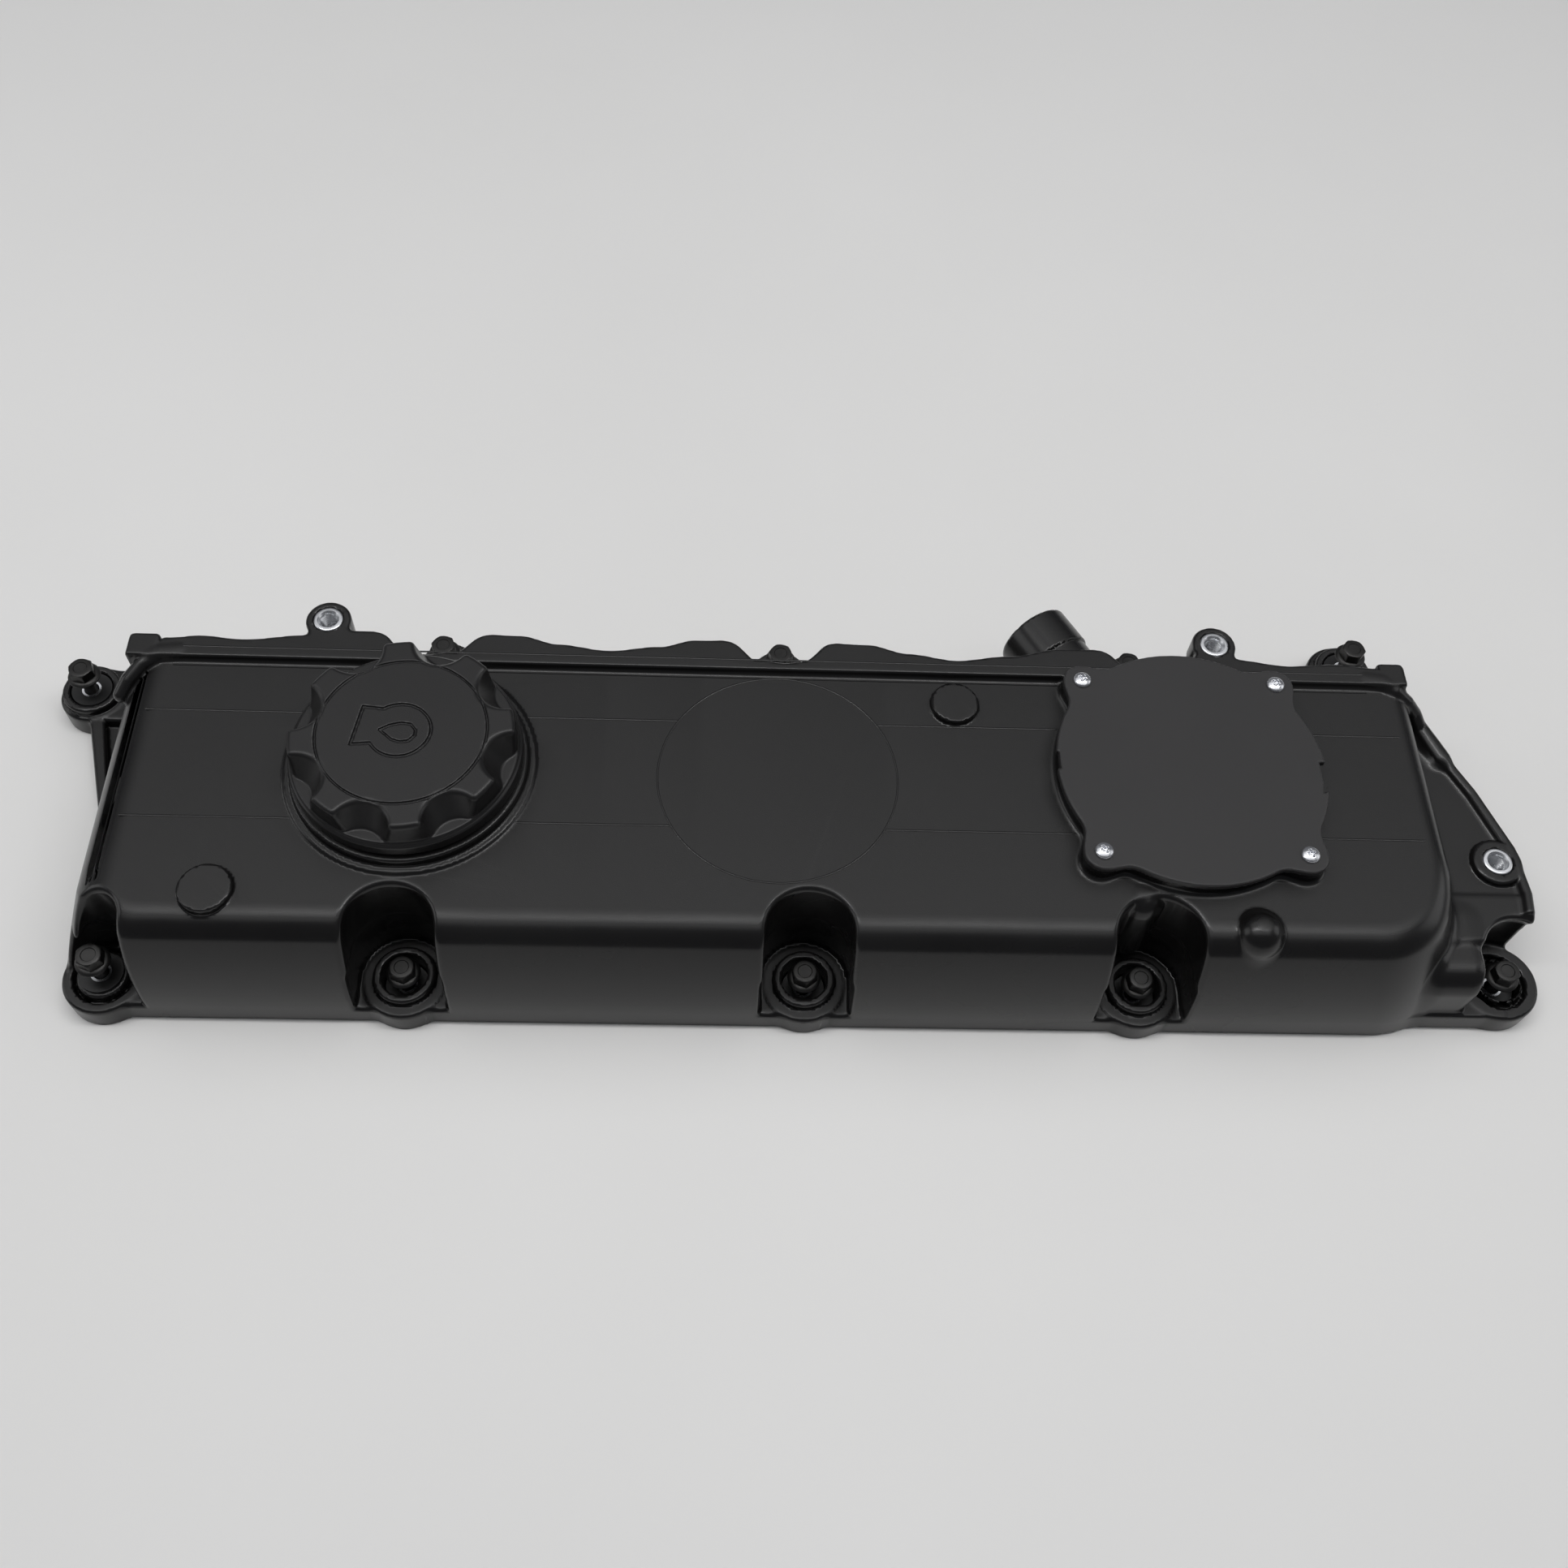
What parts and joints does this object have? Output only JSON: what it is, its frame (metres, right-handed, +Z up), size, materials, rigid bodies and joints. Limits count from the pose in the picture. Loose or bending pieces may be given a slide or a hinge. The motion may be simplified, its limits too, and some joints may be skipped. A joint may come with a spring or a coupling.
{
  "type": "engine valve cover",
  "caption": "Moulded engine valve cover with a screw-in oil filler cap, crankcase breather valve and outlet, captive flange bolts, threaded bushes and perimeter gasket.",
  "frame": {"origin": "middle of the cover's footprint, on the sealing plane that meets the cylinder head", "axes": "+X along the engine to the breather end, +Z up and away from the cylinder head, -Y the side with the front bolt pockets"},
  "size_m": [0.661, 0.204, 0.088],
  "materials": {
    "moulded_plastic": "satin, fine grain on the deck",
    "cap_plastic": "satin",
    "vent_plastic": "matte, fine grain",
    "rubber_black": "satin",
    "rubber_grey": "matte",
    "phosphate_bolt": "black phosphate",
    "zinc_steel": "bright zinc",
    "bright_screw": "bright zinc",
    "spring_steel": "oiled steel"
  },
  "bodies": {
    "cover": {"cover_shell": "moulded_plastic", "perimeter_gasket": "rubber_grey", "bolt_grommets": "rubber_black", "limiter_sleeves": "zinc_steel", "insert_rear_left": "zinc_steel", "insert_rear_right": "zinc_steel", "insert_bracket": "zinc_steel", "vent_cover": "vent_plastic", "vent_screws": "bright_screw", "diaphragm": "rubber_black", "valve_spring": "spring_steel", "separator_baffle": "moulded_plastic", "baffle_screws": "bright_screw"},
    "seal_ring": {"cap_seal": "rubber_black"},
    "cap": {"filler_cap": "cap_plastic", "cap_plug": "cap_plastic"},
    "valve_plate": {"pressure_plate": "zinc_steel"},
    "bolt_front_1": {"bolt_front_1": "phosphate_bolt"},
    "bolt_front_2": {"bolt_front_2": "phosphate_bolt"},
    "bolt_front_3": {"bolt_front_3": "phosphate_bolt"},
    "bolt_front_4": {"bolt_front_4": "phosphate_bolt"},
    "bolt_front_5": {"bolt_front_5": "phosphate_bolt"},
    "bolt_rear_1": {"bolt_rear_1": "phosphate_bolt"},
    "bolt_rear_2": {"bolt_rear_2": "phosphate_bolt"},
    "bolt_rear_3": {"bolt_rear_3": "phosphate_bolt"},
    "bolt_rear_4": {"bolt_rear_4": "phosphate_bolt"},
    "bolt_rear_5": {"bolt_rear_5": "phosphate_bolt"}
  },
  "joints": [
    {"name": "cap_lift", "type": "slide", "parent": "cover", "child": "seal_ring", "axis": [0, 0, 1], "range_m": [0, 0.0101]},
    {"name": "cap_turn", "type": "hinge", "parent": "seal_ring", "child": "cap", "pos_m": [-0.155, -0.01, 0.075], "axis": [0, 0, 1], "range_deg": [0, 450]},
    {"name": "valve_plate_slide", "type": "slide", "parent": "cover", "child": "valve_plate", "axis": [0, 0, 1], "range_m": [-0.0025, 0], "stiffness_N_per_m": 200, "springref_m": 0.003, "deforming": ["valve_spring", "diaphragm"]},
    {"name": "bolt_front_1_slide", "type": "slide", "parent": "cover", "child": "bolt_front_1", "axis": [0, 0, 1], "range_m": [-0.0098, 0]},
    {"name": "bolt_front_2_slide", "type": "slide", "parent": "cover", "child": "bolt_front_2", "axis": [0, 0, 1], "range_m": [-0.0098, 0]},
    {"name": "bolt_front_3_slide", "type": "slide", "parent": "cover", "child": "bolt_front_3", "axis": [0, 0, 1], "range_m": [-0.0098, 0]},
    {"name": "bolt_front_4_slide", "type": "slide", "parent": "cover", "child": "bolt_front_4", "axis": [0, 0, 1], "range_m": [-0.0098, 0]},
    {"name": "bolt_front_5_slide", "type": "slide", "parent": "cover", "child": "bolt_front_5", "axis": [0, 0, 1], "range_m": [-0.0098, 0]},
    {"name": "bolt_rear_1_slide", "type": "slide", "parent": "cover", "child": "bolt_rear_1", "axis": [0, 0, 1], "range_m": [-0.0098, 0]},
    {"name": "bolt_rear_2_slide", "type": "slide", "parent": "cover", "child": "bolt_rear_2", "axis": [0, 0, 1], "range_m": [-0.0098, 0]},
    {"name": "bolt_rear_3_slide", "type": "slide", "parent": "cover", "child": "bolt_rear_3", "axis": [0, 0, 1], "range_m": [-0.0098, 0]},
    {"name": "bolt_rear_4_slide", "type": "slide", "parent": "cover", "child": "bolt_rear_4", "axis": [0, 0, 1], "range_m": [-0.0098, 0]},
    {"name": "bolt_rear_5_slide", "type": "slide", "parent": "cover", "child": "bolt_rear_5", "axis": [0, 0, 1], "range_m": [-0.0098, 0]}
  ],
  "couplings": [
    {"joint": "cap_lift", "follows": "cap_turn", "m_per_rad": 0.0012732}
  ]
}
